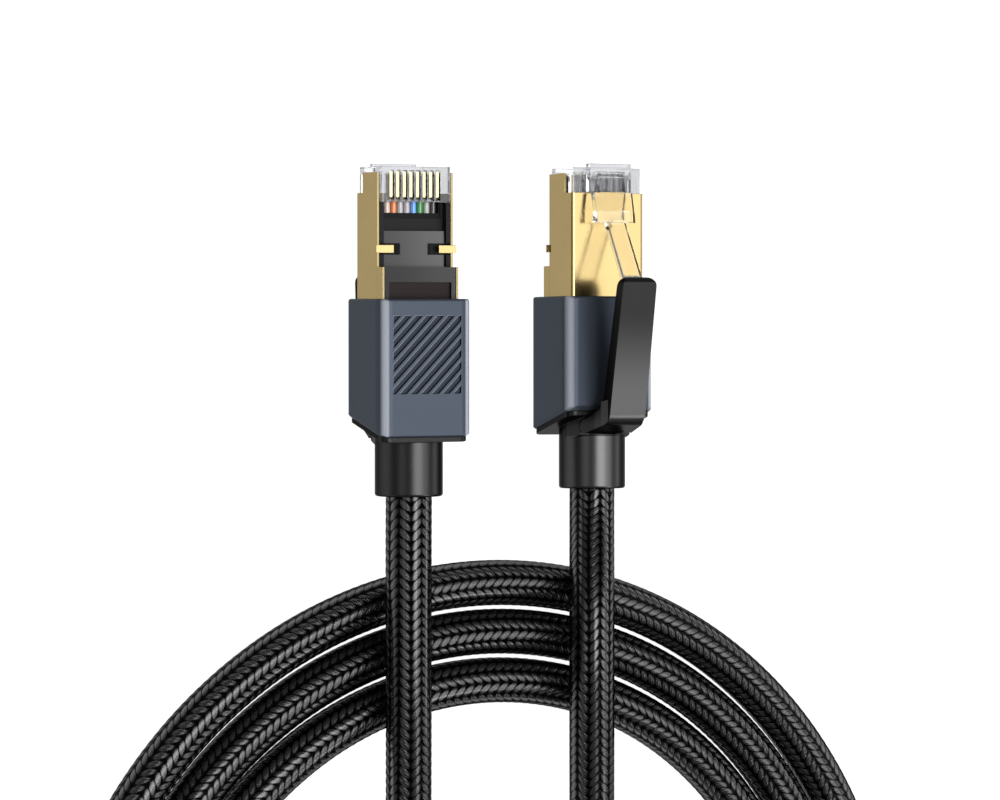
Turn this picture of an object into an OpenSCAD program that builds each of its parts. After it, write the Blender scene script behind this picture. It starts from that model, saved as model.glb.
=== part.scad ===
// Shielded network patch lead: two 8-contact plugs with aluminium housings, moulded
// boots and snag-free latch levers, on a braided cord that lies in a flat coil.
// Each plug is drawn in its own frame: origin where the cord leaves the boot,
// +Y towards the plug's nose, +Z towards its latch.

/* [Plug] */
// Width of the plug over its shield
plug_w = 11.68; // [11.6:0.01:11.7]
// Height of the shield's latch face above the cord's axis
latch_face = 4.7; // [4.6:0.05:4.8]
// Depth of the contact face below the cord's axis
contact_face = 2.0; // [1.9:0.05:2.1]
// Depth of the thicker rear part of the plug below the cord's axis
rear_face = 3.7; // [3.5:0.05:3.8]
// How far the nose stands out of the housing
nose_out = 18.3; // [18:0.1:18.6]
// How far the thicker rear part stands out of the housing
step_out = 4.4; // [4:0.1:4.8]
// Thickness of the shield's sheet
sheet = 0.3; // [0.25:0.05:0.35]
// Number of contacts, each on its own wire
contacts_n = 8; // [8]
// Distance between neighbouring contacts
pitch = 1.02; // [1:0.01:1.04]
// Thickness of a contact blade
blade_t = 0.5; // [0.4:0.05:0.55]
// Diameter of an insulated wire
wire_d = 0.96; // [0.9:0.01:0.98]

/* [Housing] */
// Width of the aluminium housing
housing_w = 14.3; // [14:0.1:14.6]
// Depth of the housing, from the contact side to the latch side
housing_d = 11.7; // [11.6:0.1:12]
// Length of the housing along its contact side
housing_len = 19.2; // [18.8:0.1:19.6]
// How much shorter the latch side is, which slants the rear edge
housing_slant = 3.1; // [2.8:0.1:3.4]
// Radius of the four long corners
housing_r = 1.8; // [1.5:0.1:2]
// Radius of the rounded front edge
rim_r = 0.35; // [0.25:0.05:0.45]
// Width of the striped panel
panel_w = 10.4; // [9.5:0.1:10.6]
// Length of the striped panel
panel_len = 10.7; // [9.5:0.1:11]
// Distance between neighbouring stripes, measured across them
stripe_pitch = 1.17; // [1.1:0.01:1.3]
// Width of a sunk stripe
stripe_w = 0.68; // [0.5:0.02:0.8]
// Depth of a sunk stripe
stripe_deep = 0.35; // [0.2:0.05:0.5]

/* [Boot] */
// Diameter of the sleeve round the cord
sleeve_d = 9.5; // [9.3:0.1:9.7]
// Length of the sleeve behind the housing's contact side
sleeve_len = 8.2; // [7.8:0.1:8.6]
// Thickness of the boot's base plate behind the housing
base_t = 0.7; // [0.6:0.1:0.9]

/* [Lever and latch] */
// Height of the lever's tip above the cord's axis
lever_top = 14.1; // [13.9:0.1:14.3]
// Width of the lever at its bend
lever_w = 5.7; // [5.3:0.1:5.9]
// Thickness of the lever at its tip
lever_tip_t = 1.7; // [1.5:0.1:1.8]
// Thickness of the lever at its bend
lever_bend_t = 2.4; // [2.2:0.1:2.5]
// Width of the latch across its locking shoulders
latch_w = 6.2; // [6:0.1:6.3]
// Width of the latch's arm
arm_w = 2.9; // [2.6:0.1:3.2]

/* [Cord] */
// Diameter of the braided cord
cord_d = 6.5; // [6.4:0.1:6.5]
// Clear gap between neighbouring turns of the coil
turn_gap = 0.45; // [0.42:0.01:0.46]
// Radius of the innermost turn where the cord passes the coil's far side
turn_r = 52.1; // [52:0.1:52.2]
// Rings of the cord's surface in each turn
rings_per_turn = 24; // [24]

/* [Hidden] */
$fn = 48;
eps = 0.01;
clear = 0.1;

// Stations along a plug, from the cord's exit to the nose.
housing_rear = sleeve_len;
housing_front = sleeve_len + housing_len;
nose_end = housing_front + nose_out;
step_y = housing_front + step_out;
slant = atan(housing_slant / housing_d);
collar_rear = 13.2;
collar_front = 17.4;
cable_stop = 17.5;
shield_rear = 19.5;
insert_rear = 21;
plate_front = step_y + 5;
ramp_front = plate_front + 2.5;
clear_rear = ramp_front + 1.5;
face_front = nose_end - 3.6;
wall_front = nose_end - 0.8;
wall_top = 2.6;
latch_front = nose_end + 0.5;

// The plug's inner sizes.
inner_w = plug_w - 2 * sheet - 2 * clear;
inner_top = latch_face - sheet - clear;
wire_z = -0.25;
wire_top = wire_z - wire_d / 2 - 0.03;
row_top = wire_z + 1.32;
row_w = contacts_n * pitch;
splay_y = 26;
splay_share = 0.75;
splay_rise = 0.65;
wire_front = nose_end - 1.1;

// The lever and the latch: pivots, the lever's inner corner and its tip, as [y, z].
lever_pivot = [9, 4.75];
lever_pivot_r = 1.05;
lever_corner = [11.36, 8.25];
lever_tip = [29.1, lever_top - lever_tip_t / 2];
latch_pivot = [nose_end - 1.4, latch_face + 0.3];
latch_pin_r = 0.35;
shoulder_y = 37.8;
// How far the lever and the latch turn when the lever is pressed.
press = 7;
flex = press * 1.36;

// Where the two plugs lie: the place of the cord's exit and the turn of the plug.
// The first lies latch down, on its lever, which is pressed. The second lies latch up with
// its nose a little down, because the cord behind it climbs over the coil.
pressed_top = lever_pivot[1] + (lever_tip[1] - lever_pivot[1]) * cos(press)
    - (lever_tip[0] - lever_pivot[0]) * sin(press) + lever_tip_t / 2;
exit_a = [-16.07, -23.22, pressed_top];
exit_b = [15.83, -22.97, 6.33];
turn_a = [0, 180, 0];
turn_b = [-1, 0, -0.5];

// The coil winds outwards from the end of the first run. Its far side, under the plugs'
// cords, is round. Its near side is drawn in by two corners and a straight between them.
coil_centre = [1.8, -102.3];
drawn_in = 27;
turn_step = 360 / rings_per_turn;
coil_rings = 72;
turn_pitch = cord_d + turn_gap;
lay = cord_d / 2;

// The cord's free runs, from each boot to the coil.
run_a_points = [
    exit_a, [-16.11, -30, 11.6], [-16.06, -38, 11.5], [-15.57, -53, 10.5], [-15.08, -59, 9.5],
    [-14.42, -65, 8.15], [-13.56, -72, 6.4], [-12.72, -80, 4.7], [-12.15, -89, 3.5],
    [-12.2, -99, lay], [-11, -106.7, lay], [-7.45, -113.65, lay], [-1.95, -119.15, lay],
    [5, -122.7, lay], [14, -123.93, lay]
];
run_b_points = [
    exit_b, [15.62, -26.6, 6.69], [15.12, -30.1, 7.61], [14.37, -33.4, 8.98], [13.67, -36.6, 10.26],
    [13.2, -40.2, 11.13], [13.05, -44.2, 11.41], [13.14, -49, 11.25], [13.63, -54.5, 10.35],
    [14.51, -61, 8.75], [15.58, -68, 6.8], [16.66, -76, 4.85], [17.29, -84.5, 3.7],
    [17.2, -91.5, 3.5], [17.1, -99, 4.4], [17, -107.4, 6.7], [16.3, -117.5, 9.5],
    [14.4, -127, 10.5], [10.1, -135, 10.5], [3.1, -141, 10], [-5.6, -144.4, 8.6],
    [-15, -145.5, 6.6], [-25.2, -145, 4.7], [-36.2, -143.1, 3.6], [-46.1, -138.6, 3.3]
];

// ---- shapes that several pieces share ----

// A section drawn in x and z, extruded from y0 to y1.
module along_y(y0, y1) {
    translate([0, y0, 0]) rotate([-90, 0, 0]) linear_extrude(y1 - y0) mirror([0, 1]) children();
}

// A section drawn in y and z, extruded across a width centred on x = 0.
module along_x(width) {
    rotate([90, 0, 90]) linear_extrude(width, center = true) children();
}

// A box from its low corner to its high corner.
module span(low, high) {
    translate(low) cube(high - low);
}

// A rectangle with round corners, centred on the origin.
module round_rect(w, d, r) {
    square([w - 2 * r, d], center = true);
    square([w, d - 2 * r], center = true);
    for (x = [-1, 1], y = [-1, 1]) translate([x * (w / 2 - r), y * (d / 2 - r)]) circle(r);
}

// A bar between two circles of their own radii, with straight flanks along both.
module tapered_bar(p, rp, q, rq) {
    run = q - p;
    lean = atan2(run[1], run[0]);
    open = acos((rp - rq) / norm(run));
    inset = 0.005;
    translate(p) circle(rp);
    translate(q) circle(rq);
    polygon([
        for (end = [[p, rp, 1], [p, rp, -1], [q, rq, -1], [q, rq, 1]])
            end[0] + (end[1] - inset) * [cos(lean + end[2] * open), sin(lean + end[2] * open)]
    ]);
}

// A prism along y with round long corners and a rounded front edge.
module rounded_prism(w, d, y0, y1, r, edge) {
    along_x(w - 2 * r) edge_section(d, y0, y1, edge);
    linear_extrude(d - 2 * r, center = true) mirror([1, -1]) edge_section(w, y0, y1, edge);
    for (x = [-1, 1], z = [-1, 1])
        translate([x * (w / 2 - r), y0, z * (d / 2 - r)]) rotate([-90, 0, 0]) rotate_extrude() {
            square([r, y1 - y0 - edge]);
            square([r - edge, y1 - y0]);
            translate([r - edge, y1 - y0 - edge]) circle(edge);
        }
}

// The lengthwise section of that prism: square at y0, rounded at y1.
module edge_section(d, y0, y1, edge) {
    translate([y0, -d / 2]) square([y1 - y0 - edge, d]);
    translate([y0, edge - d / 2]) square([y1 - y0, d - 2 * edge]);
    for (side = [-1, 1]) translate([y1 - edge, side * (d / 2 - edge)]) circle(edge);
}

// Everything behind the housing's slanted rear plane, moved forward by shift.
module behind_rear_plane(shift = 0) {
    translate([0, housing_rear + shift, -housing_d / 2]) rotate([-slant, 0, 0])
        span([-20, -20, -20], [20, 0, 40]);
}

// The places of the plug's contacts across its width.
function contact_x(i) = (i - (contacts_n - 1) / 2) * pitch;

// ---- the pieces of a plug ----

module housing() {
    color([0.37, 0.41, 0.48])
    difference() {
        rounded_prism(housing_w, housing_d, housing_rear, housing_front, housing_r, rim_r);
        behind_rear_plane();
        // Pocket for the rear of the plug.
        span([-plug_w / 2 - 0.25, cable_stop, -rear_face - 0.25],
             [plug_w / 2 + 0.25, housing_front + 1, latch_face + 0.25]);
        // Seat of the crimp collar, and the slots of the shield's two tails.
        translate([0, collar_rear - clear, 0]) rotate([-90, 0, 0]) cylinder(cable_stop, 5.15, 5.15);
        span([-plug_w / 2 - 0.25, collar_rear - clear, -1.8], [plug_w / 2 + 0.25, cable_stop + 1, 1.8]);
        // Bore for the boot's spigot.
        translate([0, housing_rear - 1, 0]) rotate([-90, 0, 0]) cylinder(8, 4.7, 4.7);
        stripes();
        rear_bevel();
    }
}

// A bevel round the slanted rear edge: one cut for each side and each corner.
module rear_bevel() {
    bevel = 0.4;
    half_d = housing_d / 2 / cos(slant);
    corner = (housing_w / 2 + half_d - 2 * housing_r) * sin(45) + housing_r;
    reach = [housing_w / 2, corner, half_d, corner];
    translate([0, housing_rear, -housing_d / 2]) rotate([-slant, 0, 0]) translate([0, 0, half_d])
        for (i = [0 : 7])
            rotate([0, i * 45, 0]) translate([reach[i % 4] - bevel, 0, 0]) rotate([0, 0, 45])
                span([-3, -4, -12], [9, 0, 12]);
}

// Slanted stripes sunk into the contact side of the housing.
module stripes() {
    reach = panel_w + panel_len;
    count = floor(reach / stripe_pitch * cos(45) / 2);
    translate([0, housing_front - 2.35 - panel_len / 2, -housing_d / 2 - 1])
        linear_extrude(1 + stripe_deep)
            intersection() {
                square([panel_w, panel_len], center = true);
                for (i = [-count : count])
                    rotate(135) translate([0, i * stripe_pitch]) square([reach, stripe_w], center = true);
            }
}

module boot() {
    color([0.1, 0.1, 0.11])
    difference() {
        union() {
            intersection() {
                along_y(0, housing_front) round_rect(housing_w - 0.9, housing_d - 0.9, housing_r - 0.45);
                difference() {
                    behind_rear_plane();
                    behind_rear_plane(-base_t);
                }
            }
            intersection() {
                sleeve();
                behind_rear_plane();
            }
            translate([0, housing_rear, 0]) rotate([-90, 0, 0])
                cylinder(collar_rear - clear - housing_rear, 4.6, 4.6);
            intersection() {
                boot_neck();
                behind_rear_plane();
            }
        }
        translate([0, -1, 0]) rotate([-90, 0, 0]) cylinder(20, cord_d / 2 + 0.05, cord_d / 2 + 0.05);
        // Trough that the lever's root turns in.
        translate([-6, lever_pivot[0], lever_pivot[1]]) rotate([0, 90, 0])
            cylinder(12, lever_pivot_r + 0.12, lever_pivot_r + 0.12);
    }
}

// The round sleeve, with a softened rim at the cord's exit.
module sleeve() {
    rotate([-90, 0, 0]) rotate_extrude() {
        square([sleeve_d / 2 - 0.4, 12]);
        translate([0, 0.4]) square([sleeve_d / 2, 11.6]);
        translate([sleeve_d / 2 - 0.4, 0.4]) circle(0.4);
    }
}

// The neck that carries the lever's root, rising from the sleeve.
module boot_neck() {
    rim = lever_pivot[1] - 0.85;
    intersection() {
        along_x(12) polygon([
            [7, 0], [7.39, 2.85], [7.7, rim], [lever_pivot[0], rim],
            lever_pivot, [12, lever_pivot[1]], [12, 0]
        ]);
        root_outline(0, 12);
    }
}

// The outline of the neck and the lever's root from behind: narrower towards the bend.
module root_outline(y0, y1) {
    half = lever_w / 2;
    along_y(y0, y1) polygon([
        [-4.7, 0], [-4.7, 1], [-4.2, 2.85], [-3.65, 5.55], [-3.2, 8.55], [-half, 9.9], [-half, 20],
        [half, 20], [half, 9.9], [3.2, 8.55], [3.65, 5.55], [4.2, 2.85], [4.7, 1], [4.7, 0]
    ]);
}

module lever() {
    tip_r = 1.3;
    tip_y = lever_tip[0] + lever_tip_t / 2;
    tip_half = lever_w / 2 - 0.15;
    under_tip = lever_tip + [0.19, -0.83];
    color([0.12, 0.12, 0.13])
    difference() {
        intersection() {
            along_x(12) {
                translate(lever_pivot) circle(lever_pivot_r);
                difference() {
                    union() {
                        tapered_bar(lever_pivot, lever_pivot_r, lever_corner, lever_bend_t);
                        tapered_bar(lever_corner, lever_bend_t, lever_tip, lever_tip_t / 2);
                    }
                    polygon([lever_corner, under_tip, [under_tip[0], 2], [9.3, 2], [9.3, 3.2], [9.8, 4.42]]);
                }
            }
            linear_extrude(20) polygon([
                [-5, 5], [-5, 11], [-lever_w / 2, 12.7], [-tip_half, tip_y + 1],
                [tip_half, tip_y + 1], [lever_w / 2, 12.7], [5, 11], [5, 5]
            ]);
            root_outline(0, 40);
        }
        // The tip's two round corners.
        for (side = [-1, 1]) scale([side, 1, 1]) translate([tip_half - tip_r, tip_y - tip_r, 10])
            difference() {
                cube([3, 3, 10]);
                translate([0, 0, -1]) cylinder(12, tip_r, tip_r);
            }
    }
}

module latch() {
    color([0.85, 0.88, 0.9, 0.6]) {
        // Root between the cheeks, on its pin.
        along_x(4.3) {
            translate(latch_pivot) circle(0.5);
            polygon([latch_pivot + [0, -0.45], [42, 5.35], [42, 6.35], latch_pivot + [0, 0.48]]);
        }
        translate([-2.95, latch_pivot[0], latch_pivot[1]]) rotate([0, 90, 0])
            cylinder(5.9, latch_pin_r, latch_pin_r);
        // Plate that widens to the locking shoulders.
        along_x(latch_w) {
            polygon([[42.05, 5.34], [shoulder_y, 6.3], [shoulder_y, 7.35], [42.05, 6.36]]);
            translate([shoulder_y, 5.9]) square([1.6, 1]);
        }
        // Arm that rises towards the lever.
        along_x(arm_w)
            polygon([
                [shoulder_y + 0.8, 6.15], [37.3, 6.5], [29.7, 11], [28.6, 11],
                [28.6, 11.95], [30.2, 11.95], [shoulder_y, 7.35], [shoulder_y + 0.8, 7.16]
            ]);
    }
}

module plug_body() {
    cheek = 2.25;
    root_w = 3.3;
    color([0.85, 0.88, 0.9, 0.5])
    difference() {
        union() {
            span([-inner_w / 2, clear_rear, -contact_face], [inner_w / 2, nose_end, inner_top]);
            span([-root_w, face_front + clear, inner_top - eps], [root_w, latch_front, latch_face + 0.85]);
        }
        // A slot for each blade, and one channel for the row of wires and its load bar.
        for (i = [0 : contacts_n - 1])
            span([contact_x(i) - blade_t / 2 - 0.08, clear_rear + 0.25, -contact_face - 1],
                 [contact_x(i) + blade_t / 2 + 0.08, nose_end - 0.5, wire_top]);
        span([-row_w / 2 - 0.1, clear_rear - 1, wire_top - eps], [row_w / 2 + 0.1, nose_end - 0.9, row_top]);
        // The latch's root turns between two cheeks, on a pin.
        span([-cheek, face_front - 1, inner_top + 0.1], [cheek, latch_pivot[0] + 0.8, latch_face + 3]);
        translate([-5, latch_pivot[0], latch_pivot[1]]) rotate([0, 90, 0])
            cylinder(10, latch_pin_r + 0.05, latch_pin_r + 0.05);
    }
}

// The blades, each with a round lower corner, down to just above the wires.
module contacts() {
    low = 0.25 - contact_face;
    high = wire_top - 0.02;
    r = 0.45;
    color([0.93, 0.82, 0.5])
    for (i = [0 : contacts_n - 1])
        translate([contact_x(i), clear_rear + 0.4, 0]) along_x(blade_t) {
            translate([r, low]) square([3.8 - r, high - low]);
            translate([r, low + r]) circle(r);
            translate([0, low + r]) square([r + eps, high - low - r]);
        }
}

module shield() {
    side_in = plug_w / 2 - sheet;
    color([0.85, 0.7, 0.4]) {
        along_y(shield_rear, step_y) shield_section(rear_face);
        along_y(step_y - eps, face_front) shield_section(contact_face);
        along_y(face_front - eps, wall_front) intersection() {
            shield_section(contact_face);
            for (side = [-1, 1]) translate([side * plug_w / 2 - 0.55, -5]) square([1.1, 5 + wall_top]);
        }
        for (side = [-1, 1]) {
            // Tail that reaches back to the crimp collar.
            translate([side * (side_in + sheet / 2), (shield_rear + collar_rear + 0.4) / 2, 0])
                cube([sheet, shield_rear - collar_rear - 0.4 + eps, 3.2], center = true);
            // Tab folded over the insert.
            shield_tab(side);
        }
    }
}

// Section of the shield: a channel with softened corners, open towards the contacts.
module shield_section(low) {
    r = 0.5;
    h = latch_face + low;
    difference() {
        union() {
            translate([-plug_w / 2, -low]) square([plug_w, h - r]);
            translate([-plug_w / 2 + r, -low]) square([plug_w - 2 * r, h]);
            for (side = [-1, 1]) translate([side * (plug_w / 2 - r), latch_face - r]) circle(r);
        }
        translate([sheet - plug_w / 2, -low - 1]) square([plug_w - 2 * sheet, h + 1 - sheet]);
    }
}

// A tab from the side wall's edge, with an outward lip, folded in over its window.
module shield_tab(side) {
    out = plug_w / 2;
    along_y(step_y + 1.97, step_y + 3.03) scale([side, 1]) {
        translate([out - sheet, -contact_face - 0.45]) square([sheet, 0.6]);
        translate([3.5, -contact_face - 0.45]) square([out + 0.32 - 3.5, sheet]);
    }
}

module insert() {
    plate_w = 9.44;
    plate_top = 0.4 - contact_face;
    rail = 0.63;
    rail_y = (step_y + clear_rear) / 2;
    rail_len = clear_rear - step_y - 2 * clear;
    color([0.2, 0.2, 0.21])
    difference() {
        union() {
            span([-inner_w / 2, insert_rear, 0.05 - rear_face], [inner_w / 2, step_y, inner_top]);
            span([-inner_w / 2, step_y - eps, -1], [inner_w / 2, clear_rear - clear, inner_top]);
            span([-plate_w / 2, step_y - eps, plate_top], [plate_w / 2, plate_front, -0.9]);
            for (side = [-1, 1])
                translate([side * (inner_w - rail) / 2, rail_y, -(contact_face + 0.9) / 2])
                    cube([rail, rail_len, contact_face - 0.9 + 2 * eps], center = true);
        }
        // Sunk rectangle on the thicker part, half under the housing's rim.
        span([-4.8, housing_front - 2, -rear_face - 1], [4.8, housing_front + 2.3, 0.55 - rear_face]);
        // Windows under the shield's tabs, with a sloping inner end.
        for (side = [-1, 1]) along_y(step_y + 1.7, step_y + 3.3) scale([side, 1])
            polygon([[0.7, -2.5], [2.8, -1.15], [6, -1.15], [6, -2.5]]);
        // Ramp down to the wires, and the opening that shows them.
        along_x(8.8)
            polygon([
                [plate_front, -contact_face - 1], [plate_front, plate_top + 0.1],
                [ramp_front, wire_top], [clear_rear + 1, wire_top], [clear_rear + 1, -contact_face - 1]
            ]);
        // Channel for the wires: tall where they splay, then one row and its load bar.
        span([-row_w / 2 - 0.15, insert_rear - 1, -1.25], [row_w / 2 + 0.15, splay_y + 0.5, 1.25]);
        span([-row_w / 2 - 0.15, insert_rear - 1, wire_top], [row_w / 2 + 0.15, clear_rear + 1, row_top]);
    }
}

// The comb under the wires, with a groove for each of them.
module load_bar() {
    color([0.8, 0.83, 0.85, 0.6])
    difference() {
        span([-row_w / 2 - 0.02, plate_front - 0.8, wire_z + 0.2],
             [row_w / 2 + 0.02, wire_front, row_top - 0.07]);
        for (i = [0 : contacts_n - 1])
            translate([contact_x(i), plate_front - 2, wire_z]) rotate([-90, 0, 0])
                cylinder(14, wire_d / 2 + 0.03, wire_d / 2 + 0.03);
    }
}

// One wire: straight along the comb, then bent towards its place in the cable's end.
// Odd and even wires leave the cable in two rows.
module wire(i) {
    aside = contact_x(i) * (splay_share - 1);
    rise = (i % 2 == 0 ? splay_rise : -splay_rise) - wire_z;
    back = splay_y - cable_stop;
    lean = atan(norm([aside, rise]) / back);
    $fn = 24;
    translate([contact_x(i), splay_y, wire_z]) rotate([0, -atan2(rise, aside), 0]) {
        rotate([-90, 0, 0]) cylinder(wire_front - splay_y, wire_d / 2, wire_d / 2);
        rotate([-90, 0, 0]) sphere(wire_d / 2 + 0.02);
        rotate([0, 0, lean]) rotate([90, 0, 0])
            cylinder(norm([aside, rise, back]), wire_d / 2, wire_d / 2);
    }
}

// The wires of the given contacts, in one colour.
module wires(places, tint) {
    color(tint) for (i = places) wire(i);
}

module crimp_collar() {
    color([0.75, 0.62, 0.35])
    translate([0, collar_rear, 0]) rotate([-90, 0, 0]) difference() {
        cylinder(collar_front - collar_rear, 5, 5);
        translate([0, 0, -1]) cylinder(20, cord_d / 2 + 0.05, cord_d / 2 + 0.05);
    }
}

// The end of the braided cord, held inside the boot and the collar.
module cable_end() {
    color([0.08, 0.08, 0.09])
    rotate([-90, 0, 0]) cylinder(cable_stop, cord_d / 2, cord_d / 2);
}

// ---- the cord between the plugs ----

function unit(v) = v / norm(v);

// A point of the coil, whose radius grows by one pitch with each turn. A turn has one ring
// more than its steps, because the straight on its near side has one at each end.
function coil_point(ring) =
    let (
        step = ring % (rings_per_turn + 1),
        turned = step * turn_step,
        before = floor(ring / (rings_per_turn + 1)) * 360,
        r = turn_r + turn_pitch * (before + turned - 180) / 360,
        aside = turned <= 90 ? 1 : turned >= 270 ? -1 : 0,
        bend = r - abs(aside) * drawn_in
    )
    [
        coil_centre[0] + aside * drawn_in + bend * sin(turned),
        coil_centre[1] - bend * cos(turned),
        lay
    ];
coil_points = [for (ring = [0 : coil_rings - 1]) coil_point(ring)];

least_gap = min([
    for (i = [0 : coil_rings - rings_per_turn])
        for (j = [i + rings_per_turn - 1 : min(coil_rings - 1, i + rings_per_turn + 3)])
            norm(coil_points[j] - coil_points[i])
]) - cord_d;
echo("least gap between the coil's turns, mm", least_gap);

// The way a tube points at each of its rings; both ends are square to a stated way.
function headings(p, first, last) = [
    for (i = [0 : len(p) - 1])
        i == 0 ? unit(first)
            : i == len(p) - 1 ? unit(last)
            : unit(unit(p[i + 1] - p[i]) + unit(p[i] - p[i - 1]))
];

// A tube along a list of points, with one ring of flat sides at each point.
module tube(p, first, last, sides) {
    ways = headings(p, first, last);
    end_ring = (len(p) - 1) * sides;
    rings = [
        for (i = [0 : len(p) - 1])
            let (across = unit(cross(ways[i], [0, 0, 1])), up = cross(across, ways[i]))
                for (k = [0 : sides - 1])
                    p[i] + cord_d / 2 * (sin(k * 360 / sides) * across + cos(k * 360 / sides) * up)
    ];
    walls = [
        for (i = [0 : len(p) - 2], k = [0 : sides - 1])
            let (a = i * sides + k, b = i * sides + (k + 1) % sides)
                each [[a, b + sides, b], [a, a + sides, b + sides]]
    ];
    caps = [
        for (k = [1 : sides - 2])
            each [[0, k, k + 1], [end_ring, end_ring + k + 1, end_ring + k]]
    ];
    color([0.09, 0.09, 0.1]) polyhedron(rings, concat(walls, caps), convexity = 10);
}

coil_first = coil_points[1] - coil_points[0];
coil_last = coil_points[coil_rings - 1] - coil_points[coil_rings - 2];

module cord_coil() tube(coil_points, coil_first, coil_last, 6);

module cord_run_a() tube(concat(run_a_points, [coil_points[0]]), [0, -1, 0], coil_first, 8);

module cord_run_b() {
    out = [-sin(-turn_b[2]) * cos(turn_b[0]), -cos(turn_b[2]) * cos(turn_b[0]), -sin(turn_b[0])];
    tube(concat(run_b_points, [coil_points[coil_rings - 1]]), out, -coil_last, 8);
}

// ---- the two ends ----

module end_a() {
    translate(exit_a) rotate(turn_a) children();
}

module end_b() {
    translate(exit_b) rotate(turn_b) children();
}

// A piece of a plug turned about its own pivot.
module turned(pivot, angle) {
    translate([0, pivot[0], pivot[1]]) rotate([angle, 0, 0])
        translate([0, -pivot[0], -pivot[1]]) children();
}

orange = [0.93, 0.45, 0.15];
green = [0.2, 0.6, 0.25];
blue = [0.2, 0.45, 0.85];
brown = [0.35, 0.24, 0.2];
white = [0.9, 0.9, 0.88];

end_a() housing();  // housing_a
end_a() boot();  // boot_a
end_a() turned(lever_pivot, -press) lever();  // lever_a
end_a() turned(latch_pivot, flex) latch();  // latch_a
end_a() plug_body();  // plug_body_a
end_a() contacts();  // contacts_a
end_a() shield();  // shield_a
end_a() insert();  // insert_a
end_a() load_bar();  // load_bar_a
end_a() wires([6], orange);  // wires_orange_a
end_a() wires([2], green);  // wires_green_a
end_a() wires([3], blue);  // wires_blue_a
end_a() wires([0], brown);  // wires_brown_a
end_a() wires([1, 4, 5, 7], white);  // wires_white_a
end_a() crimp_collar();  // crimp_collar_a
end_a() cable_end();  // cable_end_a
end_b() housing();  // housing_b
end_b() boot();  // boot_b
end_b() lever();  // lever_b
end_b() latch();  // latch_b
end_b() plug_body();  // plug_body_b
end_b() contacts();  // contacts_b
end_b() shield();  // shield_b
end_b() insert();  // insert_b
end_b() load_bar();  // load_bar_b
end_b() wires([1], orange);  // wires_orange_b
end_b() wires([5], green);  // wires_green_b
end_b() wires([4], blue);  // wires_blue_b
end_b() wires([7], brown);  // wires_brown_b
end_b() wires([0, 2, 3, 6], white);  // wires_white_b
end_b() crimp_collar();  // crimp_collar_b
end_b() cable_end();  // cable_end_b
cord_run_a();
cord_coil();
cord_run_b();
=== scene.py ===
"""Looks of a shielded network patch lead: two metal-shelled plugs on a braided, coiled cord."""

import logging
import math
from dataclasses import dataclass
from enum import Enum, StrEnum
from typing import ClassVar

import bpy
import numpy as np
from mathutils import Matrix, Vector

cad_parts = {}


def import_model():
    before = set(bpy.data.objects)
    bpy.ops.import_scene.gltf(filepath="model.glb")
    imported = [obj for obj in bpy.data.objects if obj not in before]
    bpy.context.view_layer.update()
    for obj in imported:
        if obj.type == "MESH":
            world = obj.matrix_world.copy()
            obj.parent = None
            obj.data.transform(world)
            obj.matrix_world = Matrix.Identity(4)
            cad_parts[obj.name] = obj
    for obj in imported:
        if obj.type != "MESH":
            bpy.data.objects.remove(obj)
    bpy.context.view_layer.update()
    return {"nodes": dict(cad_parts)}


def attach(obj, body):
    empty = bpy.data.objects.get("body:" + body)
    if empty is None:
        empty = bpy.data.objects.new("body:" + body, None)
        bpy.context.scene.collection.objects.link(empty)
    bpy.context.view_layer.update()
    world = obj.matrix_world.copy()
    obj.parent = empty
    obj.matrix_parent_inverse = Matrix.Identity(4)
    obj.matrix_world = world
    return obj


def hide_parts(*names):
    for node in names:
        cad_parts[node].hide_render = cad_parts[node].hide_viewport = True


LOG = logging.getLogger("patch_lead")
MM = 0.001
WEAVE_MAP = "weave"

Colour = tuple[float, float, float]


class End(StrEnum):
    """The lead's two ends: a lies with its contacts up, b with its latch up."""

    A = "a"
    B = "b"


class Blend(Enum):
    """How two colours are mixed."""

    MIX = "MIX"
    MULTIPLY = "MULTIPLY"


@dataclass(frozen=True)
class PlugPlace:
    """Where one plug lies: its cord's exit, in millimetres, and its turn there, in degrees."""

    exit_point: tuple[float, float, float]
    turn: tuple[float, float, float]


PLACES = {
    End.A: PlugPlace((-16.07, -23.22, 11.587), (0.0, 180.0, 0.0)),
    End.B: PlugPlace((15.83, -22.97, 6.33), (-1.0, 0.0, -0.5)),
}


# ---- shader expressions ----


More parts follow.
